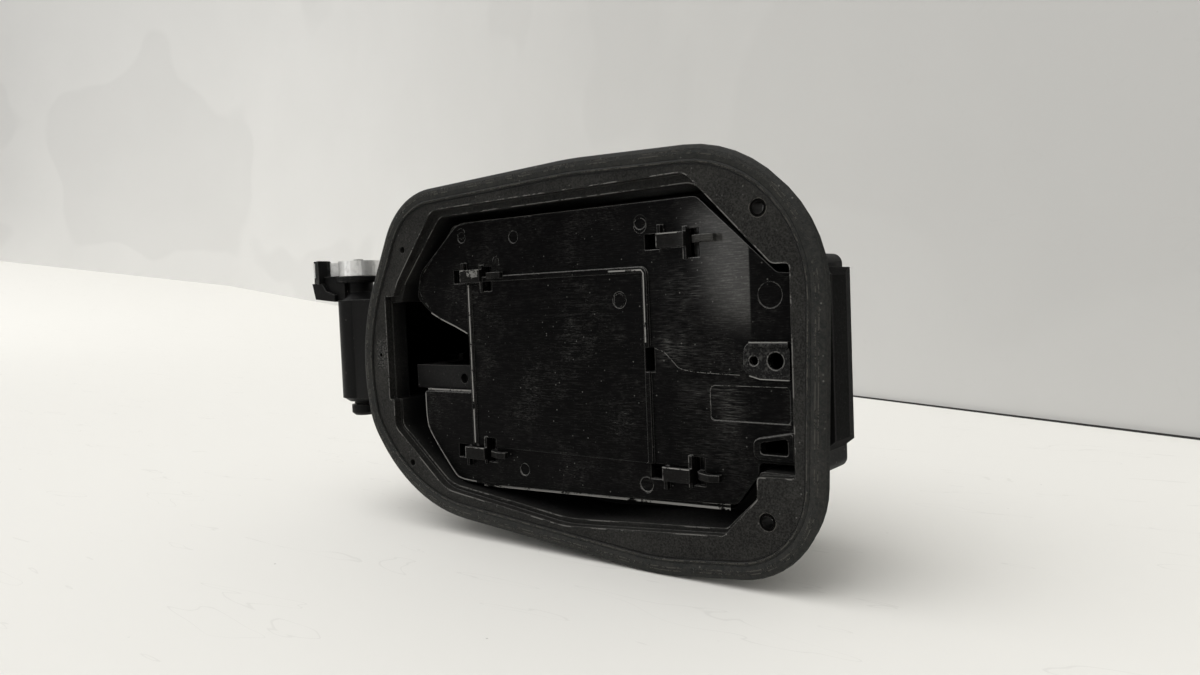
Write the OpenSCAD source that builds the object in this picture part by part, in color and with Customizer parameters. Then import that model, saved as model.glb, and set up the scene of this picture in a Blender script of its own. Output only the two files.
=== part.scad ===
// Fuel door module for a car: a moulded pot with a soft rim seal, a gooseneck
// door carrier on a sprung vertical hinge, and a push latch beside the neck.
// Millimetres. X runs right, Y into the car, Z up. The origin is the centre of
// the filler neck's bore, halfway through the floor of the pot.

/* [Pot] */
// Depth from the front of the rim to the inside of the floor
pot_depth = 76; // [72:1:90]
// Wall thickness of the pot
wall = 2.2; // [1.8:0.1:2.6]
// Thickness of the flange plate
flange_t = 2.4; // [2:0.1:3]
// Depth of the drain ledge behind the front of the rim
ledge_y = 4.5; // [4:0.5:5.5]
// Depth of the shelf that carries the latch
shelf_y = 34; // [33:0.5:38]
// Depth of the bulge on the latch side
bulge_w = 7; // [5:0.5:9]

/* [Rim seal] */
// Width of the seal in front of the flange
seal_w = 6.5; // [6:0.5:8]
// Depth of the seal from its front to its rear lip
seal_d = 9.5; // [8.5:0.5:9.5]
// Width of the groove that takes the body panel
panel_gap = 2.6; // [2:0.1:3]
// Depth of that groove
panel_bite = 3.6; // [3:0.1:4]

/* [Door carrier] */
// Front face of the carrier behind the front of the rim
door_y = 9; // [8.5:0.25:10]
// Thickness of the carrier plate
door_t = 2.5; // [2:0.1:2.8]
// Height of the ribs behind the plate
rib_h = 5; // [3:0.5:7]
// Height of the clip bridges in front of the plate
bridge_h = 3.2; // [2:0.2:4]

/* [Hinge] */
// Depth of the hinge axis behind the front of the rim
hinge_y = 20; // [19:0.5:21]
// Radius of the hinge pin
pin_r = 2.5; // [2:0.1:3]
// Radius of the arm's hub
hub_r = 6.2; // [5.8:0.1:7]
// Inner radius of the gooseneck
neck_ri = 50.5; // [50:0.25:51]
// Thickness of the gooseneck
neck_t = 7; // [5:0.5:7.5]
// Height of the arm where it meets the door
arm_h = 11; // [8:0.5:13]
// Turns of the spiral spring
spring_turns = 4; // [3:1:5]
// Thickness of the spring strip
strip_t = 0.8; // [0.6:0.1:1]
// Height of the spring strip
strip_h = 7.7; // [6:0.1:9]

/* [Latch] */
// Radius of the plunger
plunger_r = 3; // [2.8:0.1:3.4]
// Length of the latch head
head_l = 9; // [8:0.2:10]
// Width of the latch head
head_w = 3.4; // [3:0.1:3.8]
// Height and width of the latch housing
latch_w = 29; // [26:0.5:30]

/* [Neck and drain] */
// Radius of the filler neck's bore
neck_r = 26.5; // [20:0.5:28]
// Outer radius of the drain spout
drain_r = 5; // [4:0.25:6]

/* [Hidden] */
$fn = 48;
eps = 0.01;

// clearances
run_gap = 0.08;
end_gap = 0.6;
rest_gap = 0.3;
slot_gap = 0.8;
latch_gap = 1;

// outlines seen from the front as [x, z, corner radius], anticlockwise
rim_out = [
    [-129.1, 11.5, 89], [-122.8, -30, 34], [-94.9, -67.3, 77],
    [43.2, -78.4, 100], [109.2, -71.3, 36], [114.8, 77.6, 54],
    [7.9, 81.2, 200], [-96.2, 77.3, 36]
];
notch_lo = -18.2;
notch_hi = 27.8;
mouth = [
    [-107.9, notch_hi + 2.8, 1], [-107.9, notch_lo, 1], [-104.9, notch_lo, 1],
    [-104.9, -31, 5], [-72, -57.5, 18], [-2, -65.5, 60], [72, -59.6, 4],
    [85.6, -45, 3], [85.6, -37.2, 1.5], [100, -36.6, 1.5], [100, 35.2, 1.5],
    [93.5, 35.2, 4], [60.5, 69.6, 8], [-72.8, 68.1, 7], [-98.2, 37.4, 6],
    [-102, notch_hi + 2.8, 1]
];
ledge = [
    [-107.4, notch_hi, 1], [-107.4, notch_lo, 1], [-103.3, notch_lo, 1],
    [-103.3, -30.4, 5], [-71.4, -55.6, 17], [-2, -63.2, 60], [71.4, -57.8, 4],
    [85, -44.6, 3], [85, -36.2, 1.5], [101.6, -36.2, 1.5],
    [101.6, 36.6, 1.5], [94.4, 36.6, 4], [61.8, 66, 8], [-71.4, 65.2, 7],
    [-96.8, 36.6, 6], [-100.6, notch_hi, 1]
];
carrier = [
    [-94, 29.5, 2.5], [-86.5, 23.2, 14], [-60.5, 12.4, 2],
    [-60.5, -14.4, 1.5], [-92.2, -14.4, 2], [-91.6, -29.5, 12],
    [-70.5, -55.6, 18], [20, -53, 60], [73.5, -50, 4], [82.3, -38.6, 3],
    [82.6, -34, 2], [97.8, -33.8, 2], [97.8, 32.2, 2], [91.6, 32.6, 4],
    [60.3, 61.8, 5], [-64.5, 62, 12], [-91.5, 41, 9]
];
label = [
    [-57.4, 35.2, 1], [-57.4, -38, 1], [35.8, -38, 1], [35.8, 35.2, 1]
];

// derived sizes
flange_y = 0.9;
floor_y = pot_depth;
well_end = floor_y - 5.6;
origin_y = floor_y + wall / 2;
door_back = door_y + door_t;
hinge_x = -152;
neck_ro = neck_ri + neck_t;
arm_w = 7;
notch_x = -60.5;
foot_x = -32;
pocket_r = hub_r + 2.8;
pocket_back = hinge_y + neck_ro + 1.5;
arm_top = -2.4;
arm_mid = arm_top - arm_h / 2;
boss_r = 7;
boss_top = notch_hi + wall + 9;
seat_r = 11.5;
seat_t = 3;
spring_z = boss_top + seat_t + rest_gap;
spring_out = seat_r - 0.4;
spring_in = pin_r + 1.2;
pin_top = spring_z + strip_h + 1;
boss_low = notch_lo - wall - 3.6;
screw_x = 89.2;
screw_z = [54.4, -52.6];
insert_r = 3.1;
screw_hole_r = 2.15;
left_x = -93.8;
left_z = [51.8, -47.4];
left_hole_r = 1.6;
latch_x = 90.8;
latch_z = 2.1;
box_in = head_l / 2 + slot_gap;
box_wall = 2;
box_depth = 11.5;
slot_y = door_back + box_depth;
head_rear = slot_y - 2.5;
head_t = 2.6;
stem_r = head_w / 2 - 0.1;
nose_y = slot_y + box_wall + 7.5;
gasket_y = shelf_y + wall;
gasket_t = 1;
body_y = gasket_y + gasket_t;
chamber_y = body_y + 5;
collar_y = chamber_y + 6.5;
collar_t = 2;
plunger_end = collar_y + collar_t + 1.5;
body_end = plunger_end + 4.5;
chamber_r = plunger_r + 1.8;
cover_t = 2.5;
latch_side = latch_x + chamber_r + 2.6;
latch_cx = latch_side - latch_w / 2;
well_right = latch_side - latch_w - latch_gap - wall;
well_in = [
    [-93, -56, 24], [well_right, -56, 24], [well_right, 58, 24], [-93, 58, 24]
];
plug_x = latch_cx - 3.5;
plug_z = latch_z - latch_w / 2 + 6;
ear_z = latch_w / 2 + 5;
stop_x = 76;
stop_z = [33, -35];
stop_r = 4.5;

function unit(v) = v / norm(v);
function turn(a, p, b) = cross(unit(p - a), unit(b - p));
function xz(c) = [c[0], c[1]];

// points of a rounded corner at p between a and b
function arc_points(a, p, b, r, n) =
    let (
        u = unit(a - p),
        v = unit(b - p),
        half = acos(u * v) / 2,
        m = p + unit(u + v) * r / sin(half),
        s = p + u * r / tan(half) - m,
        e = p + v * r / tan(half) - m,
        a0 = atan2(s[1], s[0]),
        d0 = atan2(e[1], e[0]) - a0,
        d = d0 > 180 ? d0 - 360 : d0 < -180 ? d0 + 360 : d0
    )
    [for (k = [0:n]) m + r * [cos(a0 + d * k / n), sin(a0 + d * k / n)]];

function rounded(c, n = 8) = [
    for (i = [0:len(c) - 1])
        let (k = len(c))
        for (q = arc_points(xz(c[(i + k - 1) % k]), xz(c[i]), xz(c[(i + 1) % k]), c[i][2], n))
            q
];

// the outline moved inwards by d, with its corner radii kept concentric
function inset(c, d) = [
    for (i = [0:len(c) - 1])
        let (
            k = len(c),
            a = xz(c[(i + k - 1) % k]),
            p = xz(c[i]),
            b = xz(c[(i + 1) % k]),
            f = unit(p - a),
            g = unit(b - p),
            nf = [-f[1], f[0]],
            ng = [-g[1], g[0]],
            q = p + (nf + ng) / (1 + nf * ng) * d,
            r = c[i][2] + (turn(a, p, b) > 0 ? -d : d)
        )
        [q[0], q[1], max(r, 0.3)]
];

module outline(c, n = 8) polygon(rounded(c, n));

// a plate seen from the front, from depth y0 to depth y1
module slab(y0, y1) {
    translate([0, y1, 0])
        rotate([90, 0, 0])
            linear_extrude(height = y1 - y0) children();
}

// a round bar along Y
module bar(x, z, r, y0, y1) {
    translate([x, y1, z])
        rotate([90, 0, 0])
            cylinder(r = r, h = y1 - y0);
}

// a block between two corners
module block(a, b) {
    translate(a) cube(b - a);
}

// a closed profile of [inset, depth] points swept round an outline
module ring_sweep(c, profile, n) {
    rings = [for (p = profile) [for (q = rounded(inset(c, p[0]), n)) [q[0], p[1], q[1]]]];
    m = len(rings[0]);
    k = len(profile);
    polyhedron(
        points = [for (r = rings) for (p = r) p],
        faces = [
            for (i = [0:k - 1])
                for (j = [0:m - 1])
                    [
                        i * m + j, i * m + (j + 1) % m,
                        ((i + 1) % k) * m + (j + 1) % m, ((i + 1) % k) * m + j
                    ]
        ],
        convexity = 6
    );
}

// plan of the pocket that the gooseneck swings in, grown by g, whose side
// towards the well ends at x0 in front and at x1 behind
module pocket_plan(g, x0, x1) {
    translate([hinge_x, hinge_y]) circle(r = pocket_r + g);
    polygon([
        [hinge_x - pocket_r - g, hinge_y],
        [hinge_x, 12.5 - g],
        [x0, 12.5 - g],
        [x0, floor_y - 10],
        [x1, pocket_back + g],
        [hinge_x - 5.7 - g, pocket_back + g],
        [hinge_x - 5.7 - g, hinge_y + 12],
        [hinge_x - pocket_r - g, hinge_y + 4]
    ]);
}

// the bulge grown by g, or its hollow where g is 0
module bulge_shape(g) {
    side = ledge[9][0] + bulge_w + g;
    bulge_in = ledge[9][0] + (g > 0 ? wall / 2 : -4);
    intersection() {
        slab(seal_d + 0.1 + wall - g, shelf_y + wall)
            polygon([
                [bulge_in, -28.5 - g], [side - 7.5, -28.5 - g], [side, -22.6 - g],
                [side, 28.8 + g], [side - 2, 31.4 + g], [bulge_in, 31.4 + g]
            ]);
        translate([0, 0, notch_lo - 50])
            linear_extrude(height = notch_hi - notch_lo + 100)
                polygon([
                    [bulge_in, 0], [side + 1, 0], [side, shelf_y - 12],
                    [side - 3, shelf_y - 3 + g], [bulge_in, shelf_y - 3 + g]
                ]);
    }
}

// The pot is one moulding. It is kept as four nodes, its front, its well, its
// floor and its hinge pocket, so that a simulation can follow each hollow.
module pot_housing() color([0.09, 0.09, 0.1]) {
    difference() {
        union() {
            // flange plate, its tongue in the seal and the skirt to the ledge
            slab(flange_y, flange_y + flange_t)
                difference() {
                    outline(inset(rim_out, seal_w), 12);
                    outline(mouth);
                }
            slab(flange_y + flange_t - eps, ledge_y + 2)
                difference() {
                    outline(inset(mouth, -wall));
                    outline(mouth);
                }
            slab(ledge_y, ledge_y + 2)
                difference() {
                    outline(inset(mouth, -wall));
                    outline(ledge);
                }
            slab(ledge_y, gasket_y)
                difference() {
                    outline(inset(ledge, -wall));
                    outline(ledge);
                }
            // shelf round the well
            slab(shelf_y, gasket_y)
                difference() {
                    outline(inset(ledge, -wall));
                    outline(well_in);
                }
            bulge_shape(wall);
            flange_bosses();
            latch_posts();
            stop_posts();
        }
        pocket_inside();
        bulge_shape(0);
        // fixing holes
        for (z = screw_z)
            bar(screw_x, z, insert_r, -1, flange_y + flange_t + 7);
        for (z = left_z)
            bar(left_x, z, left_hole_r, -1, flange_y + flange_t + 7);
        // holes for the plunger and the latch screws
        bar(latch_x, latch_z, plunger_r + 2.5, shelf_y - 1, gasket_y + 1);
        for (s = [-1, 1])
            bar(latch_x, latch_z + s * ear_z, 1.5, shelf_y - 3, gasket_y + 1);
    }
}

module pot_well() color([0.1, 0.1, 0.11]) {
    difference() {
        union() {
            slab(gasket_y, well_end) outline(inset(well_in, -wall));
            outer_ribs(gasket_y, well_end);
            drain_spout(drain_r, 0);
        }
        slab(gasket_y - 1, well_end + 1) outline(well_in);
        pocket_inside();
        drain_spout(drain_r - 1.6, 2);
    }
}

module pot_floor() color([0.09, 0.09, 0.1]) {
    difference() {
        slab(well_end, floor_y + wall) outline(inset(well_in, -wall));
        slab(well_end - 1, floor_y) outline(well_in);
        pocket_inside();
        bar(0, 0, neck_r + 6, floor_y - 1, floor_y + wall + 1);
    }
}

module hinge_pocket() color([0.08, 0.08, 0.09]) {
    wall_x = well_in[0][0] - wall;
    difference() {
        union() {
            translate([0, 0, notch_lo - wall])
                linear_extrude(height = notch_hi - notch_lo + 2 * wall)
                    pocket_plan(wall, wall_x, wall_x);
            // collars of the hinge pin
            translate([hinge_x, hinge_y, 0]) {
                translate([0, 0, notch_hi + wall - eps])
                    cylinder(r1 = pocket_r + wall - 1, r2 = boss_r, h = 4);
                translate([0, 0, notch_hi])
                    cylinder(r = boss_r, h = boss_top - notch_hi);
                translate([0, 0, boss_low + 1.6])
                    cylinder(r1 = pocket_r - 1, r2 = pocket_r + wall - 0.5, h = 2 + eps);
                translate([0, 0, boss_low])
                    cylinder(r = boss_r - 1.5, h = notch_lo - boss_low);
            }
            spring_lug();
        }
        pocket_inside();
        translate([hinge_x, hinge_y, boss_low - 1])
            cylinder(r = pin_r + run_gap, h = boss_top - boss_low + 2);
        // room for the front of the pot
        block(
            [ledge[0][0] - wall, -5, notch_lo - 5],
            [wall_x + 5, gasket_y, notch_hi + 5]
        );
    }
}

module pocket_inside() {
    translate([0, 0, notch_lo])
        linear_extrude(height = notch_hi - notch_lo)
            pocket_plan(0, well_in[0][0] + 2, well_in[0][0] - 6);
}

// lug that holds the outer end of the spiral spring
module spring_lug() {
    z0 = notch_hi + wall;
    lug_y = hinge_y - 2.5;
    translate([hinge_x, 0, 0]) difference() {
        union() {
            translate([0, 0, spring_z - 3.5])
                linear_extrude(height = strip_h + 4.5)
                    polygon([
                        [-24.8, lug_y - 7.5], [-16.8, lug_y - 10.3], [-16.8, lug_y - 5],
                        [-19, lug_y], [-24.8, lug_y]
                    ]);
            // tapered foot down to the pocket
            rotate([90, 0, 0])
                translate([0, 0, -lug_y])
                    linear_extrude(height = 9)
                        polygon([
                            [-24.8, spring_z - 3], [-22.4, z0 + 1], [-6, z0 - 0.6],
                            [-6, z0 + 3], [-13, z0 + 5], [-16.8, spring_z - 3]
                        ]);
        }
        // slot for the strip, open at the top and in front
        translate([0, 0, spring_z - 0.5])
            linear_extrude(height = strip_h + 3)
                polygon([
                    [-23.3, lug_y - 11.5], [-21.1, lug_y - 11.5], [-21.1, lug_y - 5.5],
                    [-14, lug_y + 2], [-17.5, lug_y + 3.5], [-23.3, lug_y - 3.1]
                ]);
    }
}

module flange_bosses() {
    back = flange_y + flange_t;
    difference() {
        union() {
            for (z = screw_z) bar(screw_x, z, insert_r + 1.8, back - eps, back + 5.6);
            for (z = left_z) bar(left_x, z, left_hole_r + 1.8, back - eps, back + 5.6);
        }
        slab(back, back + 6) outline(ledge);
    }
}

// bosses on the latch shelf for the two latch screws
module latch_posts() {
    for (s = [-1, 1])
        bar(latch_x, latch_z + s * ear_z, 4, shelf_y - 6, shelf_y + eps);
}

// posts that carry the rubber stops
module stop_posts() {
    for (z = stop_z)
        bar(stop_x, z, stop_r, door_back + 7, shelf_y + eps);
}

// stiffening ribs between the flange and the well
module outer_ribs(y0, y1) {
    for (x = [-60, -30, 30]) {
        block([x - 0.9, y0, 57], [x + 0.9, y1, 62]);
        block([x - 0.9, y0, -60], [x + 0.9, y1, -56]);
    }
}

module drain_spout(r, over) {
    translate([-20, floor_y - 14, -76 - over])
        cylinder(r = r, h = 22 + 2 * over);
}

module rim_seal() color([0.16, 0.16, 0.165]) {
    y1 = 3.1;
    y2 = y1 + panel_gap;
    lip = 1.6;
    in1 = flange_y + flange_t;
    ring_sweep(
        rim_out,
        [
            [1.6, 0.25], [3.2, 0], [4.6, 0.3], [5.2, 0.55], [5.7, 0.1],
            [6.1, 0], [seal_w, 0.35], [seal_w, in1 + 2.4],
            [5.6, seal_d - 0.6], [3.8, seal_d], [lip + 0.5, seal_d - 0.2], [lip, seal_d - 1],
            [lip + 0.9, y2 + 1], [panel_bite, y2], [panel_bite, y1],
            [0.6, y1 - 0.5], [0, y1 - 1.4], [0.4, 0.9]
        ],
        12
    );
}

module neck_grommet() color([0.12, 0.12, 0.12]) {
    f = wall / 2;
    rotate([-90, 0, 0])
        translate([0, 0, origin_y])
            rotate_extrude($fn = 96)
                polygon([
                    [neck_r, -5], [neck_r + 1.5, -6.5], [neck_r + 5, -6.5],
                    [neck_r + 8.5, -f - 1.2], [neck_r + 8.5, -f],
                    [neck_r + 6, -f], [neck_r + 6, f], [neck_r + 8, f],
                    [neck_r + 8, f + 1.5], [neck_r + 3, f + 5],
                    [neck_r, f + 5]
                ]);
}

// the drilled steel sleeves in the right-hand fixing holes
module screw_inserts() color([0.3, 0.3, 0.31]) {
    for (z = screw_z)
        difference() {
            union() {
                bar(screw_x, z, insert_r, flange_y + 0.5, flange_y + flange_t + 5);
                bar(screw_x, z, insert_r - 0.5, flange_y + 0.2, flange_y + 1);
            }
            bar(screw_x, z, screw_hole_r, -2, flange_y + flange_t + 8);
        }
}

module spring_seat() color([0.08, 0.08, 0.08]) {
    translate([hinge_x, hinge_y, boss_top])
        difference() {
            union() {
                cylinder(r1 = seat_r - 0.8, r2 = seat_r, h = 0.8);
                translate([0, 0, 0.8]) cylinder(r = seat_r, h = seat_t - 0.8);
            }
            translate([0, 0, -1]) cylinder(r = pin_r + run_gap, h = seat_t + 2);
        }
}

// the strip's centre line: the spiral, then a straight run to the lug
function spiral_point(a) =
    let (r = spring_in + (spring_out - spring_in) * a / (360 * spring_turns + 138))
    r * [cos(a), sin(a)];

module hinge_spring() color([0.82, 0.82, 0.83]) {
    last = 360 * spring_turns + 138;
    spiral = [for (k = [0:10:last]) spiral_point(k)];
    line = concat(
        [[pin_r - 0.9, 0]],
        spiral,
        [spiral_point(last), [-20.4, -5.4], [-22.2, -8.4], [-22.2, -11.4]]
    );
    m = len(line);
    side = [
        for (i = [0:m - 1])
            let (
                f = unit(line[min(i + 1, m - 1)] - line[max(i - 1, 0)]),
                h = strip_t / 2
            )
            [line[i] + h * [-f[1], f[0]], line[i] - h * [-f[1], f[0]]]
    ];
    translate([hinge_x, hinge_y, spring_z])
        linear_extrude(height = strip_h)
            polygon(concat([for (s = side) s[0]], [for (i = [m - 1:-1:0]) side[i][1]]));
}

module bump_stops() color([0.1, 0.1, 0.1]) {
    for (z = stop_z)
        translate([stop_x, 0, z])
            rotate([-90, 0, 0])
                translate([0, 0, door_back + rest_gap])
                    rotate_extrude()
                        polygon([
                            [0, 0], [2.4, 0], [3.4, 1], [stop_r, 3.4],
                            [stop_r, 7 - rest_gap], [0, 7 - rest_gap]
                        ]);
}

// latch housing outline from the front
module latch_outline(g) {
    h = latch_w / 2 - g;
    outline(
        [for (s = [[-1, -1], [1, -1], [1, 1], [-1, 1]])
            [latch_cx + s[0] * h, latch_z + s[1] * h, 3]]
    );
}

module latch_ears(g) {
    w = 5 - g;
    outline(
        [for (s = [[-1, -1], [1, -1], [1, 1], [-1, 1]])
            [latch_x + s[0] * w, latch_z + s[1] * (ear_z + w), 3]]
    );
}

module latch_gasket() color([0.14, 0.14, 0.15]) {
    slab(gasket_y, gasket_y + gasket_t)
        difference() {
            union() {
                latch_outline(0.5);
                latch_ears(0.4);
            }
            translate([latch_x, latch_z]) circle(r = plunger_r + 3.2);
            for (s = [-1, 1])
                translate([latch_x, latch_z + s * ear_z]) circle(r = 1.7);
        }
}

module latch_body() color([0.13, 0.13, 0.14]) {
    difference() {
        union() {
            slab(body_y, body_end) latch_outline(0);
            slab(body_y, body_y + 4) latch_ears(0);
            // motor bay beside the plunger
            slab(body_y + 8, body_end - 2)
                translate([latch_cx - 3, latch_z + latch_w / 2])
                    outline([[-9, -1, 0.3], [9, -1, 0.3], [9, 7, 4], [-9, 7, 4]]);
        }
        bar(latch_x, latch_z, plunger_r + run_gap, body_y - 1, chamber_y + 1);
        bar(latch_x, latch_z, chamber_r, chamber_y, body_end + 1);
        for (s = [-1, 1])
            bar(latch_x, latch_z + s * ear_z, 1.7, body_y - 1, body_y + 5);
    }
}

module latch_cover() color([0.1, 0.1, 0.11]) {
    y1 = body_end + cover_t;
    difference() {
        union() {
            slab(body_end, y1) latch_outline(0.9);
            // connector shroud and the catch for its plug
            translate([plug_x, body_end, plug_z]) {
                block([-8, 0, -5.5], [8, 12, 5.5]);
                block([-3, cover_t - 1, 5.3], [3, 8, 7.5]);
            }
        }
        translate([plug_x, body_end, plug_z])
            block([-6.4, 3.4, -3.9], [6.4, 14, 3.9]);
    }
}

module connector_pins() color([0.75, 0.75, 0.72]) {
    translate([plug_x, body_end + 3.4, plug_z])
        for (s = [-1, 1])
            block([s * 2.5 - 0.4, 0, -0.4], [s * 2.5 + 0.4, 3, 0.4]);
}

module latch_screws() color([0.6, 0.6, 0.6]) {
    for (s = [-1, 1])
        translate([latch_x, 0, latch_z + s * ear_z])
            rotate([-90, 0, 0]) {
                translate([0, 0, body_y + 4]) cylinder(r = 3.4, h = 1.2);
                difference() {
                    translate([0, 0, body_y + 5.2 - eps]) cylinder(r1 = 2.9, r2 = 2.3, h = 1.4);
                    translate([0, 0, body_y + 5.4]) cylinder(r = 1.3, h = 2, $fn = 6);
                }
                translate([0, 0, shelf_y - 2.9]) cylinder(r = 1.45, h = body_y + 4 - shelf_y + 2.9);
            }
}

// lip seal round the plunger in the shelf
module latch_seal() color([0.08, 0.08, 0.08]) {
    r = plunger_r + 2.5;
    translate([latch_x, 0, latch_z])
        rotate([-90, 0, 0])
            translate([0, 0, shelf_y])
                rotate_extrude()
                    polygon([
                        [plunger_r + 0.3, -1.4], [r - 0.6, -1.4], [r + 1.4, -0.8],
                        [r + 1.4, 0], [r, 0], [r, wall + gasket_t],
                        [plunger_r + 0.7, wall + gasket_t],
                        [plunger_r + 0.3, wall + gasket_t - 0.8]
                    ]);
}

// one place where the outer skin clips on: window, bridge, tall window, finger
module clip_cut() {
    slab(door_y - 1, door_back + 1) {
        translate([-13.2, -3]) square([18.4, 6]);
        translate([5.6, -7]) square([5.4, 10.8]);
    }
}

module clip_form() {
    top = door_y - bridge_h;
    slab(top, top + 1.8) translate([-6, -2.7]) square([12, 5.4]);
    // end walls of the bridge, the right one drawn out into a tall web
    block([-6, top + 1, -2.7], [-4.6, door_back, 2.7]);
    block([4.6, top + 1, -2.7], [6, door_back, 2.7]);
    block([4.6, door_y - 1.4, -7.5], [6, door_back, 4.6]);
    // stub at the bridge's upper corner
    block([-6, door_y - 2.2, 2.7], [-4.6, door_back, 6]);
    // sides of the window tie the bridge's ends to the plate
    block([-6, door_y, -3.4], [6, door_back, -2.7]);
    block([-6, door_y, 2.7], [6, door_back, 3.4]);
    // spring finger with its hook, rooted behind the tall window
    translate([0, 0, -1.6])
        linear_extrude(height = 2.6)
            polygon([
                [7.4, door_back + 1.6], [7.4, door_y + 0.4], [9.4, door_y - 2.2],
                [14.6, door_y - 4.4], [18.6, door_y - 3.4], [18.6, door_y - 1.2],
                [17.2, door_y - 1.2], [15.8, door_y - 2.4], [10.4, door_y - 0.4],
                [9.2, door_y + 1], [9.2, door_back + 1.6]
            ]);
    block([7.4, door_back - eps, -8.4], [9.2, door_back + 1.6, 5.4]);
}

module clip_places() {
    for (c = [[-55.6, 38, 1], [50.2, 46.6, 1], [-57.2, -41, -1], [49.4, -41, -1]])
        translate([c[0], 0, c[1]])
            mirror([0, 0, c[2] < 0 ? 1 : 0]) children();
}

// the gooseneck arm: hub, leg, arc round the rim, and a foot behind the plate
module hinge_arm() color([0.08, 0.08, 0.085]) {
    lo = arm_top - arm_h;
    hub_lo = notch_lo + end_gap;
    hub_hi = notch_hi - end_gap;
    difference() {
        union() {
            translate([hinge_x, hinge_y, 0]) {
                translate([0, 0, hub_lo]) cylinder(r = hub_r, h = hub_hi - hub_lo);
                // leg, drawn from the side and tapering from the hub to the arc
                translate([-arm_w / 2, 0, 0])
                    rotate([90, 0, 90])
                        linear_extrude(height = arm_w)
                            polygon([
                                [0, hub_lo], [10, hub_lo + 1], [neck_ri + 1, lo],
                                [neck_ro - 1.2, lo], [neck_ro - 1.2, arm_top],
                                [neck_ri + 1, arm_top], [10, hub_hi - 1], [0, hub_hi]
                            ]);
                translate([0, 0, lo])
                    linear_extrude(height = arm_h)
                        arm_arc(neck_ri, neck_ro, [[0, 0], [70, -70 * tan(4)], [70, 70], [-arm_w / 2, 70], [-arm_w / 2, 0]]);
                // stiffening web along the arc
                translate([0, 0, lo - 3])
                    linear_extrude(height = arm_h + 6)
                        arm_arc(neck_ri + 2.4, neck_ri + 4.6, [[0, 0], [70, 34], [70, 70], [4, 70]]);
            }
            // root in the notch of the plate, and its foot on the plate's back
            translate([0, 0, lo])
                linear_extrude(height = arm_h)
                    polygon([
                        [hinge_x + neck_ri + 0.8, door_back + 0.9],
                        [notch_x - 0.4, door_back + 0.9], [notch_x + 0.6, door_back],
                        [foot_x, door_back], [foot_x, door_back + 3],
                        [notch_x + 8, door_back + 4], [-90, door_back + 8.5],
                        [hinge_x + neck_ri + 0.4, door_back + 8.5]
                    ]);
        }
        translate([hinge_x, hinge_y, notch_lo - 1])
            cylinder(r = pin_r, h = notch_hi - notch_lo + 2);
        bar(notch_x - 8, arm_mid - 0.5, 2.3, door_y, door_back + 4);
    }
}

module arm_arc(r1, r2, sector) {
    intersection() {
        difference() {
            circle(r = r2, $fn = 96);
            circle(r = r1, $fn = 96);
        }
        polygon(sector);
    }
}

// where the arm's foot lies on the back of the carrier
module foot_room() {
    block(
        [notch_x - 1, door_back, arm_top - arm_h - 0.1],
        [foot_x + 0.1, door_back + rib_h + 2, arm_top + 0.1]
    );
}

// box behind the plate that the latch head turns in, with its slotted wall
module striker_box() color([0.1, 0.1, 0.1]) {
    s = box_in + box_wall;
    difference() {
        block([latch_x - s, door_back, latch_z - s], [latch_x + s, slot_y + box_wall, latch_z + s]);
        block(
            [latch_x - box_in, door_back - 1, latch_z - box_in],
            [latch_x + box_in, slot_y, latch_z + box_in]
        );
        block(
            [latch_x - head_w / 2 - slot_gap, slot_y - 1, latch_z - box_in],
            [latch_x + head_w / 2 + slot_gap, slot_y + box_wall + 1, latch_z + box_in]
        );
    }
}

// where the striker box stands on the back of the carrier
module striker_room() {
    s = box_in + box_wall;
    block([latch_x - s, door_back, latch_z - s], [latch_x + s, slot_y + 3, latch_z + s]);
}

module carrier_ribs() {
    h = door_back + rib_h;
    for (x = [-30, 0, 24])
        block([x - 0.8, door_back - eps, -46], [x + 0.8, h, 55]);
    for (z = [-26, 22])
        block([-58, door_back - eps, z - 0.8], [66, h, z + 0.8]);
    // closed pocket behind the slot beside the label panel
    block([34.8, door_back - eps, -4.2], [41.2, h + 1.6, 8]);
    slab(door_back - eps, door_back + 3)
        difference() {
            outline(inset(carrier, 0.6));
            outline(inset(carrier, 2.4));
        }
}

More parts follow.
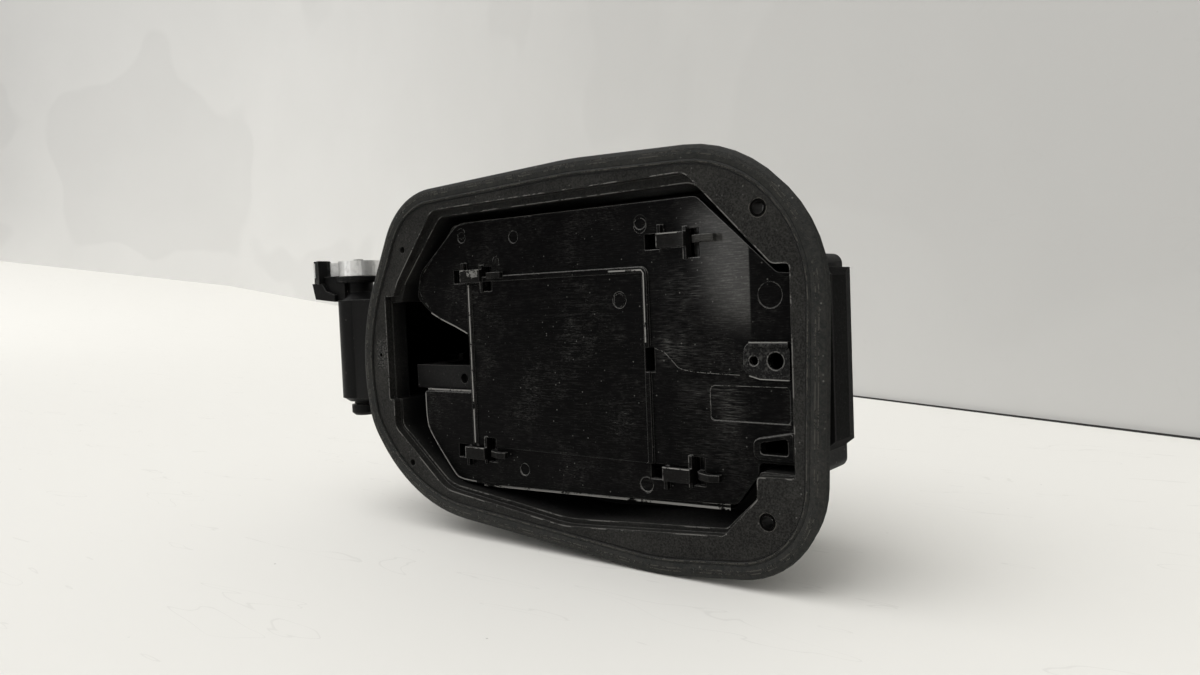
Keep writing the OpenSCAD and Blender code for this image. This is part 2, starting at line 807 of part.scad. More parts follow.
module door_carrier() color([0.07, 0.07, 0.075]) {
    difference() {
        union() {
            slab(door_y, door_back) outline(carrier);
            // raised panel with its frame
            slab(door_y - 0.4, door_y + eps) outline(label);
            slab(door_y - 1.2, door_y + eps)
                difference() {
                    outline(inset(label, -2.2));
                    outline(label);
                    translate([-70, label[1][1] - 12]) square([120, 12]);
                }
            // lip along the bottom edge
            slab(door_y + 0.8, door_back + 4)
                polygon([[-56, -56.2], [70, -52.4], [70, -50.2], [-56, -53.6]]);
            carrier_ribs();
            // raised rim of the stop's window
            slab(door_y - 1.6, door_y + eps)
                outline([[81.4, -32.6, 2.4], [96.6, -32.6, 1], [96.6, -22.6, 1], [81.4, -25.6, 2.4]]);
        }
        clip_places() clip_cut();
        striker_room();
        foot_room();
        // holes in the front
        bar(latch_x, latch_z, 3.2, door_y - 3, door_back + 1);
        bar(latch_x - 8.4, latch_z, 1.7, door_y - 3, door_back + 1);
        block([36.2, door_y - 4, -2.8], [39.8, door_back + rib_h, 6.6]);
        slab(door_y - 4, door_back + 4)
            outline([[84, -30.6, 1.2], [94.6, -30.6, 1], [94.6, -24.6, 1], [84, -26.6, 1.2]]);
        // shallow marks of ejectors and the blank dial
        for (e = [[88.7, 24.9, 4.6], [-30, -46.4, 2.6], [33.9, -46.4, 3], [-62.7, 55.5, 2.4], [-31, 53.5, 2.6], [35.1, 54.4, 2.8]])
            bar(e[0], e[1], e[2], door_y - 1, door_y + 0.3);
        bar(24.4, 25, 3.2, door_y - 2, door_y - 0.15);
        slab(door_y - 1, door_y + 0.35)
            outline([[63.6, -19.9, 1.5], [95.1, -19.9, 1.5], [95.1, -7.1, 1.5], [63.6, -7.1, 1.5]]);
    }
    clip_places() clip_form();
    // tie from the notch's lower edge to the arm
    slab(door_y + 1, door_back + 0.9)
        polygon([
            [-86, -14.9], [-86, arm_top - arm_h], [notch_x + 1, arm_top - arm_h],
            [notch_x + 1, -14.9]
        ]);
}

// black steel plate on the door in front of the latch
module striker_plate() color([0.12, 0.12, 0.12]) {
    t = 1.4;
    difference() {
        union() {
            slab(door_y - t, door_y)
                outline([
                    [78.2, -1.4, 2.4], [84.6, -4.6, 1], [96, -4.8, 1],
                    [96, 8.4, 0.6], [78.8, 8.4, 3]
                ]);
            // rolled upper edge
            translate([81, door_y - t, latch_z + 5.6])
                rotate([0, 90, 0])
                    cylinder(r = 1.3, h = 15);
        }
        bar(latch_x, latch_z, 3, door_y - 4, door_y + 1);
        bar(latch_x - 8.4, latch_z, 1.7, door_y - 4, door_y + 1);
        slab(door_y, door_y + 3) square([200, 40], center = true);
    }
}

module hinge_pin() color([0.7, 0.7, 0.7]) {
    low = boss_low - 1;
    translate([hinge_x, hinge_y, 0])
        difference() {
            translate([0, 0, low]) cylinder(r = pin_r, h = pin_top - low);
            // slot that takes the inner end of the spring
            translate([-0.6, -0.6, spring_z - 0.2]) cube([6, 1.2, strip_h + 3]);
        }
}

// push-on cap under the pocket
module pin_cap() color([0.08, 0.08, 0.08]) {
    translate([hinge_x, hinge_y, boss_low - 5.8])
        difference() {
            union() {
                cylinder(r1 = 5.4, r2 = 7, h = 1.4);
                translate([0, 0, 1.4]) cylinder(r = 7, h = 4);
            }
            translate([0, 0, 2]) cylinder(r = pin_r, h = 5);
        }
}

module latch_plunger() color([0.85, 0.85, 0.83]) {
    difference() {
        union() {
            translate([latch_x, 0, latch_z])
                rotate([-90, 0, 0])
                    translate([0, 0, nose_y]) cylinder(r1 = plunger_r - 0.8, r2 = plunger_r, h = 0.8);
            bar(latch_x, latch_z, plunger_r, nose_y + 0.8 - eps, plunger_end);
            bar(latch_x, latch_z, plunger_r + 1.3, collar_y, collar_y + collar_t);
        }
        bar(latch_x, latch_z, stem_r + run_gap, nose_y - 1, plunger_end + 1);
    }
}

module latch_head() color([0.7, 0.7, 0.7]) {
    h = head_l / 2;
    w = head_w / 2;
    bar(latch_x, latch_z, stem_r, head_rear - eps, plunger_end + 0.1);
    bar(latch_x, latch_z, stem_r + 1.2, plunger_end + 0.1 - eps, plunger_end + 1.5);
    slab(head_rear - head_t, head_rear)
        outline([
            [latch_x - w, latch_z - h, 0.8], [latch_x + w, latch_z - h, 0.8],
            [latch_x + w, latch_z + h, 0.8], [latch_x - w, latch_z + h, 0.8]
        ]);
}

// the coil that pushes the plunger out
module latch_spring() color([0.8, 0.8, 0.8]) {
    wire = 0.35;
    mean = plunger_r + 0.8;
    y0 = collar_y + collar_t + wire + 0.05;
    y1 = body_end - wire - 0.05;
    turns = 4;
    per = 14;
    sides = 8;
    last = turns * per;
    ring = [
        for (i = [0:last])
            [for (j = [0:sides - 1])
                let (
                    a = 360 * i / per,
                    b = 360 * j / sides,
                    r = mean + wire * cos(b)
                )
                [
                    latch_x + r * cos(a),
                    y0 + (y1 - y0) * i / last + wire * sin(b),
                    latch_z + r * sin(a)
                ]]
    ];
    polyhedron(
        points = [for (r = ring) for (p = r) p],
        faces = concat(
            [[for (j = [0:sides - 1]) sides - 1 - j]],
            [for (i = [0:last - 1])
                for (j = [0:sides - 1])
                    [
                        i * sides + j, i * sides + (j + 1) % sides,
                        (i + 1) * sides + (j + 1) % sides, (i + 1) * sides + j
                    ]],
            [[for (j = [0:sides - 1]) last * sides + j]]
        ),
        convexity = 8
    );
}

module place() translate([0, -origin_y, 0]) children();

place() pot_housing();
place() pot_well();
place() pot_floor();
place() hinge_pocket();
place() rim_seal();
place() neck_grommet();
place() screw_inserts();
place() spring_seat();
place() hinge_spring();
place() bump_stops();
place() latch_gasket();
place() latch_body();
place() latch_cover();
place() connector_pins();
place() latch_screws();
place() latch_seal();
place() door_carrier();
place() hinge_arm();
place() striker_box();
place() striker_plate();
place() hinge_pin();
place() pin_cap();
place() latch_plunger();
place() latch_head();
place() latch_spring();
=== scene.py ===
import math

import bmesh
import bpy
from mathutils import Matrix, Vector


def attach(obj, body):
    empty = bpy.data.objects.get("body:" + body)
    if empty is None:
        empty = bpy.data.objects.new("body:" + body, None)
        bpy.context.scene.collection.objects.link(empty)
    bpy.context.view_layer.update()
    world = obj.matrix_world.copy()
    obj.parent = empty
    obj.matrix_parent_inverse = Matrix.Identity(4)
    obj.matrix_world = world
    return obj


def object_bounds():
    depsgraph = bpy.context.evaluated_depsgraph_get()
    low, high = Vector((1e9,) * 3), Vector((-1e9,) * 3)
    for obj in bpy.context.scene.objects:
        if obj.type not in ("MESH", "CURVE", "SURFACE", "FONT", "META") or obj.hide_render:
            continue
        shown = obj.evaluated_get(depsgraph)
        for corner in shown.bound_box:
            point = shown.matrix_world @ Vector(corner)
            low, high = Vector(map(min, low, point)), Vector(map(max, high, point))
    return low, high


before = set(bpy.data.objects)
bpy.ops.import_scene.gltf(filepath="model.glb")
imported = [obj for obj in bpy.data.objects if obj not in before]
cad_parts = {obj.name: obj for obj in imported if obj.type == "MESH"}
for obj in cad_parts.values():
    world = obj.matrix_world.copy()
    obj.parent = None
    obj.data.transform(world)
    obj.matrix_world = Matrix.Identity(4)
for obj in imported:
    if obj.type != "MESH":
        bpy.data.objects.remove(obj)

# %% [markdown]
# # A car's fuel door module
#
# The object is a black moulded pot with a soft rubber rim. A black door
# carrier closes it, hung on a gooseneck arm with a spiral spring. The solids
# come from the CAD frame, already in place and in metres. This file gives
# each of them a finish, adds the small marks that a mould and a few years
# leave, and lights it all. X runs right, Y into the car, Z up.
#
# What is added must not change the part's size. The box round the bare
# solids is measured first, and its lowest point later sets the floor.

solids_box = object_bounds()
print("solids' box in metres:", solids_box)

# %% [markdown]
# ## Camera
#
# The photograph was taken by hand, from the right of the part and a little
# above it. A camera looks along its own -Z, so three directions in the
# part's frame (right, up, and back towards the viewer) make its rotation.
# This keeps the slight roll of the hand, which a Track To constraint drops.

# %% The camera
LENS_MM = 26.4
SENSOR_MM = 36
EYE = (0.22836, -0.34435, 0.0266)

right = Vector((0.79028, 0.61145, -0.03977))
up = Vector((0.00313, 0.06088, 0.99814))
back = right.cross(up).normalized()
lens = bpy.data.cameras.new("hand_camera")
lens.lens = LENS_MM
lens.sensor_width = SENSOR_MM
camera = bpy.data.objects.new("hand_camera", lens)
turned = Matrix((right, up, back)).transposed().to_4x4()
camera.matrix_world = Matrix.Translation(EYE) @ turned
bpy.context.scene.collection.objects.link(camera)
bpy.context.scene.camera = camera
bpy.context.scene.view_settings.view_transform = "Standard"
print("camera looks along", [round(-v, 3) for v in back])

# %% [markdown]
# ## Shader sums
#
# A finish is a small sum over a few patterns: grain, dust, scratches. Written
# with nodes by hand that is a long list of links. A class that wraps a
# socket and overloads the operators lets the sum be written as a sum, and
# each operator adds its Math node.

# %% A socket that can be used in sums
class Wire:
    def __init__(self, owner, socket):
        self.owner = owner
        self.socket = socket

    def math(self, operation, first, second, clamp=False):
        settings = {"operation": operation, "use_clamp": clamp}
        return self.owner.node("ShaderNodeMath", settings, {0: first, 1: second})

    def __add__(self, other):
        return self.math("ADD", self, other)

    def __radd__(self, other):
        return self.math("ADD", other, self)

    def __sub__(self, other):
        return self.math("SUBTRACT", self, other)

    def __rsub__(self, other):
        return self.math("SUBTRACT", other, self)

    def __mul__(self, other):
        return self.math("MULTIPLY", self, other)

    def __rmul__(self, other):
        return self.math("MULTIPLY", other, self)

    def clamped(self):
        """The same value, but never below 0 or above 1."""
        return self.math("ADD", self, 0.0, clamp=True)

    def ramp(self, start, end):
        """0 up to start, 1 from end, and smooth between; start may be above end."""
        settings = {"interpolation_type": "SMOOTHSTEP"}
        sockets = {"Value": self, "From Min": start, "From Max": end}
        return self.owner.node("ShaderNodeMapRange", settings, sockets)


print("a wire can be added, subtracted, multiplied, clamped and ramped")

# %% [markdown]
# Every other node is added by one method, which takes the node's type, its
# settings, and the values or wires of its sockets. The settings go first,
# because some of them change which sockets the node has.

# %% One method that adds any node to a tree
class Tree:
    def __init__(self, tree):
        self.tree = tree

    def node(self, kind, settings=None, sockets=None, out=0):
        """Adds a node and gives the wire of one of its outputs."""
        added = self.tree.nodes.new(kind)
        for key, value in (settings or {}).items():
            setattr(added, key, value)
        for key, value in (sockets or {}).items():
            self.feed(added.inputs[key], value)
        return Wire(self, added.outputs[out])

    def feed(self, socket, value):
        """Links a wire to a socket, or sets a plain value on the socket itself."""
        if isinstance(value, Wire):
            self.tree.links.new(value.socket, socket)
        else:
            socket.default_value = value


print("any node can be added by its type")

# %% [markdown]
# A finish is a material with the patterns that this part's plastics need. All
# patterns are laid out by the place on the part in millimetres, because then
# a scale of 1 gives features of about a millimetre on each piece. UV
# unwrapping would be another way, but solids from a CAD file have no seams to
# cut them at, and noise in space needs none.

# %% A finish: a material, its place in millimetres and the patterns it uses
MM_PER_METRE = 1000.0


class Finish(Tree):
    SOCKETS = {
        "color": "Base Color",
        "rough": "Roughness",
        "metal": "Metallic",
        "coat": "Coat Weight",
        "coat_rough": "Coat Roughness",
        "level": "Specular IOR Level",
        "normal": "Normal",
    }
    # a Mix node has sockets for numbers too, under the same names
    FIRST_COLOR = 6
    SECOND_COLOR = 7
    MIXED_COLOR = 2

    def __init__(self, name):
        self.material = bpy.data.materials.new(name)
        self.material.use_nodes = True
        super().__init__(self.material.node_tree)
        self.shader = self.tree.nodes["Principled BSDF"]
        place = self.node("ShaderNodeTexCoord", out="Object")
        sockets = {0: place, "Scale": MM_PER_METRE}
        self.place = self.node("ShaderNodeVectorMath", {"operation": "SCALE"}, sockets)

    def set(self, **values):
        """Feeds the shader's sockets and gives the finished material."""
        for key, value in values.items():
            self.feed(self.shader.inputs[self.SOCKETS[key]], value)
        return self.material

    def axis(self, letter):
        """One coordinate of the place, in millimetres."""
        return self.node("ShaderNodeSeparateXYZ", None, {0: self.place}, letter)

    def stretched(self, x, y, z):
        """The place in millimetres, with each direction scaled."""
        sockets = {0: self.place, 1: (x, y, z)}
        return self.node("ShaderNodeVectorMath", {"operation": "MULTIPLY"}, sockets)

    def noise(self, scale, detail=3.0, rough=0.55, place=None, distort=0.0):
        """A cloudy pattern from 0 to 1."""
        sockets = {"Vector": place or self.place, "Scale": scale, "Detail": detail}
        sockets.update({"Roughness": rough, "Distortion": distort})
        return self.node("ShaderNodeTexNoise", None, sockets)

    def cells(self, scale, out="Distance"):
        """The distance to the nearest of many scattered points, or that point's colour."""
        sockets = {"Vector": self.place, "Scale": scale}
        return self.node("ShaderNodeTexVoronoi", None, sockets, out)

    def mix(self, mask, first, second):
        """The first colour where the mask is 0, the second where it is 1."""
        first = first if isinstance(first, Wire) else (*first, 1.0)
        second = second if isinstance(second, Wire) else (*second, 1.0)
        sockets = {"Factor": mask, self.FIRST_COLOR: first, self.SECOND_COLOR: second}
        return self.node("ShaderNodeMix", {"data_type": "RGBA"}, sockets, self.MIXED_COLOR)

    def bump(self, height, depth, normal=None):
        """A normal for bumps of depth millimetres, on top of another normal."""
        sockets = {"Height": height, "Distance": depth / MM_PER_METRE, "Strength": 1.0}
        if normal:
            sockets["Normal"] = normal
        return self.node("ShaderNodeBump", None, sockets)

    def round_edges(self, radius):
        """A normal that turns smoothly over each edge, and a mask of the edges.

        Edges that face up are strongest in the mask, because light from above
        makes those bright; the mask paints that highlight, with wear, into the colour.
        """
        soft = self.node("ShaderNodeBevel", {"samples": 6}, {"Radius": radius / MM_PER_METRE})
        flat = self.node("ShaderNodeNewGeometry", out="Normal")
        dot = {"operation": "DOT_PRODUCT"}
        agree = self.node("ShaderNodeVectorMath", dot, {0: soft, 1: flat}, "Value")
        upwards = self.node("ShaderNodeSeparateXYZ", None, {0: soft}, "Z").ramp(-0.15, 0.5)
        return soft, (1 - agree).ramp(0.01, 0.22) * (0.12 + upwards * 0.88)


print("a finish can feed", list(Finish.SOCKETS))

# %% [markdown]
# ## Black plastics and rubbers
#
# All of the part is black, and it looks different from place to place only
# through gloss, grain and dust, and through light and shade that are partly
# painted into its colours. The pot is satin polypropylene, the rim a
# dull elastomer with a fine grain, and the carrier a harder, glossier
# plastic that shows every scratch. One black material for all would be
# quicker, but then rim, flange and carrier would melt into one dark shape.
# So each finish is its own short function, and they share two patterns:
# dust grains and a haze of dirt.

# %% Patterns that the finishes share
def grains(finish, scale, share, size=0.2):
    """Specks of dust: small discs at a few of the cell centres."""
    near = finish.cells(scale)
    pick = finish.node("ShaderNodeSeparateColor", None, {0: finish.cells(scale, out="Color")})
    return near.ramp(size, size * 0.3) * pick.ramp(1.0 - share, 1.0)


def haze(finish, scale, low, high):
    """Soft clouds of dirt, where the noise rises from low to high."""
    return finish.noise(scale, 5.0, 0.62).ramp(low, high)


print("patterns: dust grains and haze")

# %% [markdown]
# The pot's satin plastic has a fine grain from the mould, a film of dirt and
# lighter edges, worn and with a painted highlight. Its flange, which frames
# the mouth in front, is matt and lighter than the walls deep inside: partly
# its own grey, partly painted light, and the fade to black deeper in the pot
# is painted shade. The bulge on the latch side is deep black. All of that is
# one moulding, so its one material tells the places apart by their Y and X in
# the part's frame, where the rim's front is at Y = -77.1 mm.

# %% The pot's satin plastic
def flange_and_bulge(finish, base, film, rough):
    """The pot's base colour and roughness: its flange lighter and its walls darker deeper in, as
    painted light and shade, and its bulge deep black.
    """
    dull_black = (0.005, 0.0049, 0.0047)
    flange_grey_and_light = (0.038, 0.0375, 0.0345)
    deep_black = (0.0008, 0.0008, 0.0008)
    # lighter at the front, on the flange, and darker deeper in the pot: painted light and shade over
    # the flange's own grey grain
    front = finish.axis("Y").ramp(-66.0, -75.8)
    grainy = finish.noise(1.7, 5.0, 0.75).ramp(0.38, 0.64)
    flange_grain_and_light = finish.mix(grainy * 0.7 + film * 0.25, dull_black, flange_grey_and_light)
    bulge = finish.axis("X").ramp(103.5, 104.5) * finish.axis("Y").ramp(-68.0, -66.0)
    base = finish.mix(bulge, finish.mix(front, base, flange_grain_and_light), deep_black)
    return base, rough + bulge * 0.4


def satin_pot(name, tint=0.0035, rough=0.42, moulded_pot=False, dusty=1.0):
    """Satin black plastic of a given tint, with more or less dirt on it."""
    dirt = (0.022, 0.0215, 0.021)
    wear_and_highlight = (0.12, 0.118, 0.112)
    speck = (0.14, 0.136, 0.13)
    finish = Finish(name)
    soft, edge = finish.round_edges(0.6)
    film = haze(finish, 0.035, 0.42, 0.72)
    fine = finish.noise(0.85, 5.0, 0.72).ramp(0.36, 0.66)
    specks = grains(finish, 0.5, 0.25) + grains(finish, 1.1, 0.4) * 0.4
    base = finish.mix(film * fine * 0.6 * dusty, (tint, tint, tint * 1.03), dirt)
    if moulded_pot:
        base, rough = flange_and_bulge(finish, base, film, rough)
    # worn edges, with a painted highlight on those that face up
    base = finish.mix(edge * (0.3 + fine * 0.7), base, wear_and_highlight)
    color = finish.mix((specks * 0.8).clamped(), base, speck)
    normal = finish.bump(finish.noise(3.0, 3.0, 0.6), 0.05, soft)
    rough = rough + fine * 0.12 + film * 0.08
    return finish.set(color=color, rough=rough, normal=normal, level=0.1)


pot_finish = satin_pot("pot_satin", moulded_pot=True)
print("nodes in the pot's finish:", len(pot_finish.node_tree.nodes))

# %% [markdown]
# The rim is moulded from a soft elastomer. It hardly shines, holds more dust
# than the plastic, and has a fine leathery grain, which here is made of the
# cells that also place the dust.

# %% The dull elastomer of the rim
def dull_rubber(name):
    """Matt black rubber with a fine grain and dust in it."""
    clean = (0.006, 0.00735, 0.0069)
    dusty = (0.034, 0.03298, 0.02992)
    wear_and_highlight = (0.075, 0.072, 0.066)
    speck = (0.15, 0.145, 0.135)
    finish = Finish(name)
    soft, edge = finish.round_edges(0.5)
    film = haze(finish, 0.03, 0.38, 0.74)
    fine = finish.noise(0.8, 5.0, 0.75).ramp(0.34, 0.68)
    specks = grains(finish, 0.45, 0.3) + grains(finish, 1.2, 0.5) * 0.4
    base = finish.mix(fine * 0.75 + film * 0.2, clean, dusty)
    # worn edges, with a painted highlight on those that face up
    base = finish.mix(edge * fine * 0.6, base, wear_and_highlight)
    color = finish.mix((specks * 0.8).clamped(), base, speck)
    grain = finish.cells(1.6).ramp(0.0, 0.7) + finish.noise(0.5, 3.0) * 0.8
    normal = finish.bump(grain, 0.08, soft)
    return finish.set(color=color, rough=0.6 + fine * 0.2, normal=normal, level=0.25)


rim_finish = dull_rubber("rim_elastomer")
print("nodes in the rim's finish:", len(rim_finish.node_tree.nodes))

# %% [markdown]
# ## The carrier's scuffed gloss
#
# On the real carrier the deep black is broken by three things: clouds of
# fine scratches, level streaks where the plastic flowed to the right of the
# label panel, and specks of dust; the streaks' lighter grey there is partly
# painted sheen. Level streaks are a noise whose X is squeezed, so that it
# changes fast in Z and slowly in X. The field above the striker plate shines
# more: there a thin coat is added, which the lamps find, and a painted sheen
# of lighter grey. The Bevel node finds the edges, which get a painted
# highlight. Where the streaks and the shine lie is told by ramps over X and
# Z, which cost less than a painted mask and stay sharp at any size.

# %% Where the carrier's streaks and its shine lie
def beside_the_panel(finish):
    """The fields at the right of the label panel, above and below the slot, where flow streaks and a
    painted sheen lie.
    """
    x = finish.axis("X")
    z = finish.axis("Z")
    upper = x.ramp(38.0, 46.0) * x.ramp(76.0, 52.0) * z.ramp(44.0, 26.0) * z.ramp(-4.0, 6.0)
    lower = x.ramp(46.0, 60.0) * x.ramp(80.0, 72.0) * z.ramp(-4.0, -9.0) * z.ramp(-52.0, -14.0)
    return upper + lower * 0.8


def painted_sheen_field(finish):
    """The field above the striker plate, up to a sharp line at its right, where a sheen is painted."""
    x = finish.axis("X")
    z = finish.axis("Z")
    slanted = (x + z * 0.25).ramp(62.0, 84.0)
    return slanted * x.ramp(81.4, 80.6) * z.ramp(8.0, 26.0) * z.ramp(64.0, 50.0)


print("masks for the streaks and for the shine")

# %% The carrier's plastic
def scuffed_gloss(name):
    """Deep black gloss with scratches, streaks, smears, worn edges and dust, and painted sheen and
    highlights.
    """
    deep_black = (0.0012, 0.0012, 0.0013)
    scratches_and_sheen = (0.068, 0.067, 0.063)
    raised_lit_grey = (0.014, 0.0137, 0.0131)
    painted_sheen_grey = (0.10, 0.098, 0.093)
    wear_and_highlight = (0.24, 0.236, 0.226)
    speck = (0.15, 0.147, 0.14)
    finish = Finish(name)
    soft, edge = finish.round_edges(0.7)
    fine = finish.noise(1.0, 6.0, 0.75)
    clouds = finish.noise(0.05, 4.0, 0.62).ramp(0.46, 0.68)
    streaks = finish.noise(1.0, 5.0, 0.76, finish.stretched(0.16, 1.0, 2.4)).ramp(0.44, 0.68)
    patches = finish.noise(0.055, 3.0, 0.6, finish.stretched(1.0, 1.0, 0.7)).ramp(0.42, 0.6)
    hair = finish.noise(1.0, 2.0, 0.5, finish.stretched(0.55, 1.0, 4.0), 0.6).ramp(0.66, 0.7)
    grit = finish.noise(1.0, 5.0, 0.8, finish.stretched(0.35, 1.0, 2.4)).ramp(0.46, 0.64)
    smears = finish.noise(0.05, 5.0, 0.72).ramp(0.44, 0.66)
    specks = grains(finish, 0.5, 0.2) + grains(finish, 1.2, 0.4) * 0.4
    dust = clouds * fine.ramp(0.42, 0.68)
    # flow streaks beside the label panel, partly painted sheen
    flow_and_sheen = streaks * beside_the_panel(finish) * (0.2 + patches * 0.8)
    shine = painted_sheen_field(finish)
    gritty = (dust * 0.35 + 0.16) * smears * grit
    # scratches, dust, streaks and hairs in a lighter grey; beside the label panel the streaks are
    # partly painted sheen
    marks_and_sheen = gritty + streaks * (0.15 + grit) * 0.2 + flow_and_sheen * 0.8 + hair * clouds * 0.6
    base = finish.mix(marks_and_sheen.clamped(), deep_black, scratches_and_sheen)
    # what stands out in front, such as the clips' bridges, is painted a lighter grey: painted light on
    # raised faces
    raised = finish.axis("Y").ramp(-69.7, -70.9)
    base = finish.mix(raised * fine, base, raised_lit_grey)
    # a painted sheen in the field above the striker plate, where a lamp's reflection lies
    base = finish.mix(shine * (0.35 + streaks * fine.ramp(0.3, 0.6) * 0.75), base, painted_sheen_grey)
    # worn edges, with a painted highlight on those that face up
    base = finish.mix(edge * (0.35 + fine.ramp(0.35, 0.6) * 0.65), base, wear_and_highlight)
    color = finish.mix((specks * 0.7).clamped(), base, speck)
    rough = 0.3 + dust * 0.22 + flow_and_sheen * 0.15 + fine * 0.08
    ripple = finish.noise(0.10, 2.0, 0.4) * 0.4 + flow_and_sheen * 0.04 + fine * 0.02
    normal = finish.bump(ripple, 0.25, soft)
    coat = (shine * 0.3 + flow_and_sheen * 0.4 + edge * 0.8).clamped()
    finish.set(color=color, rough=rough, normal=normal, level=0.035)
    return finish.set(coat=coat, coat_rough=0.22)


carrier_finish = scuffed_gloss("carrier_gloss")
print("nodes in the carrier's finish:", len(carrier_finish.node_tree.nodes))

# %% [markdown]
# ## Metals and small parts
#
# The hinge spring is the only bright thing on the part: cold rolled strip,
# with fine lines along its length. A noise that is stretched the same way
# gives the lines, and a Metallic of 1 lets them mirror the room. The striker
# plate is steel with a thin black coat, worn to grey along its edges, and
# its edges that face up get a painted highlight as well; for both, a lighter
# colour is mixed in where the Bevel node finds an edge.

# %% Metals and plain mouldings
def rolled_strip(name, tint, rough):
    """Bare metal with fine rolled lines and a few stains."""
    finish = Finish(name)
    along = finish.noise(1.0, 3.0, 0.6, finish.stretched(0.4, 0.4, 6.0))
    stains = finish.noise(0.3, 4.0, 0.6).ramp(0.45, 0.75)
    color = finish.mix(stains * 0.5, tint, tuple(0.55 * v for v in tint))
    rough = rough + along * 0.16 + stains * 0.1
    return finish.set(color=color, rough=rough, metal=1.0, normal=finish.bump(along, 0.02))


def coated_steel(name):
    """Steel sheet under a thin black coat that is worn at its edges, with a painted highlight on the
    edges that face up.
    """
    coat_black = (0.003, 0.003, 0.0031)
    worn_coat = (0.07, 0.069, 0.066)
    bare_and_highlit_edge = (0.30, 0.296, 0.286)
    speck = (0.26, 0.25, 0.24)
    finish = Finish(name)
    soft, edge = finish.round_edges(0.4)
    worn = finish.noise(0.7, 5.0, 0.75).ramp(0.48, 0.66)
    color = finish.mix(worn * 0.6, coat_black, worn_coat)
    # worn edges, with a painted highlight on those that face up
    color = finish.mix(edge, color, bare_and_highlit_edge)
    color = finish.mix(grains(finish, 0.7, 0.12) * 0.7, color, speck)
    normal = finish.bump(worn, 0.05, soft)
    return finish.set(color=color, rough=0.26 + worn * 0.25, normal=normal, level=0.12)


def plain_moulding(name, tint, rough):
    """A part that is hardly seen: a tint that varies a little, and a fine grain."""
    finish = Finish(name)
    fine = finish.noise(2.2, 3.0, 0.6)
    dark = tuple(0.75 * v for v in tint)
    light = tuple(min(1.0, 1.3 * v) for v in tint)
    color = finish.mix(fine, dark, light)
    return finish.set(color=color, rough=rough + fine * 0.15, normal=finish.bump(fine, 0.03))


striker_finish = coated_steel("striker_coated")
print("nodes in the striker plate's finish:", len(striker_finish.node_tree.nodes))

# %% [markdown]
# Each node of the CAD gets its finish in the first material slot of its
# mesh. The shapes stay as the CAD made them. A table of names keeps all the
# tints side by side, which makes it easy to see that no black is too light.

# %% A finish for every solid
finishes = {
    "pot_housing": pot_finish,
    "pot_well": pot_finish,
    "pot_floor": pot_finish,
    "hinge_pocket": satin_pot("pocket_satin", 0.0035, 0.35),
    "rim_seal": rim_finish,
    "neck_grommet": dull_rubber("grommet_rubber"),
    "screw_inserts": rolled_strip("insert_dark_steel", (0.006, 0.0058, 0.0056), 0.5),
    "spring_seat": satin_pot("seat_satin", 0.005, 0.4),
    "hinge_spring": rolled_strip("spring_bright", (0.95, 0.95, 0.94), 0.36),
    "bump_stops": dull_rubber("stop_rubber"),
    "latch_gasket": plain_moulding("gasket_foam", (0.03, 0.03, 0.03), 0.8),
    "latch_body": satin_pot("latch_satin", 0.007, 0.45),
    "latch_cover": satin_pot("cover_satin", 0.0012, 0.6, dusty=0.1),
    "connector_pins": rolled_strip("pin_tin", (0.7, 0.69, 0.66), 0.25),
    "latch_screws": rolled_strip("screw_zinc", (0.5, 0.5, 0.48), 0.3),
    "latch_seal": dull_rubber("lip_rubber"),
    "latch_spring": rolled_strip("coil_wire", (0.55, 0.55, 0.54), 0.25),
    "door_carrier": carrier_finish,
    "hinge_arm": satin_pot("arm_satin", 0.0045, 0.32),
    "striker_box": satin_pot("box_acetal", 0.005, 0.4),
    "striker_plate": striker_finish,
    "hinge_pin": rolled_strip("pin_drawn", (0.6, 0.6, 0.59), 0.25),
    "pin_cap": satin_pot("cap_satin", 0.005, 0.4),
    "latch_plunger": plain_moulding("plunger_acetal", (0.5, 0.49, 0.45), 0.35),
    "latch_head": rolled_strip("head_zinc", (0.5, 0.5, 0.49), 0.3),
}
for node, material in finishes.items():
    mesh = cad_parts[node].data
    mesh.materials.clear()
    mesh.materials.append(material)
print("finishes:", len(finishes), "nodes:", len(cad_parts))

# %% [markdown]
# ## Fine marks of the mould, and painted highlights
#
# Ejectors, an insert's outline and the two edges of the lower lip show on the
# carrier as thin bright lines; on the lip's edges, as on the other edges
# below, the brightness is a painted highlight. Bump alone could draw them,
# but then they would be missing from the mesh. So each is a thin closed bead,
# a few hundredths of a millimetre in front of the face it lies on, with its
# back inside the part, and noise breaks it up. Points are (x, z) in
# millimetres, and a depth is counted back from the rim's front.

# %% A closed piece that rides on a body
RIM_FRONT = -0.0771


def closed_piece(name, points, faces, material, body):
    """A closed mesh through points of (x, depth, z) in millimetres that rides on a body."""
    made = bmesh.new()
    corners = []
    for x, depth, z in points:
        place = (x / MM_PER_METRE, RIM_FRONT + depth / MM_PER_METRE, z / MM_PER_METRE)
        corners.append(made.verts.new(place))
    for face in faces:
        made.faces.new([corners[k] for k in face])
    bmesh.ops.recalc_face_normals(made, faces=made.faces)
    mesh = bpy.data.meshes.new(name)
    made.to_mesh(mesh)
    made.free()
    mesh.materials.append(material)
    piece = bpy.data.objects.new(name, mesh)
    bpy.context.scene.collection.objects.link(piece)
    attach(piece, body)


print("the rim's front is at Y =", RIM_FRONT, "metres")

# %% [markdown]
# A curve with a bevel depth would also give a thin line, but a round one,
# half of it under the face. A bead with a flat front needs only four corners
# at each point of its line: two in front, at half its width to each side, and
# two behind them. Joining the corners of neighbouring points gives its sides,
# and a line that isn't closed gets a cap at each end.

# %% A bead along a line
THICK = 0.1
# the names of all beads, in the order in which they are made
beads = []


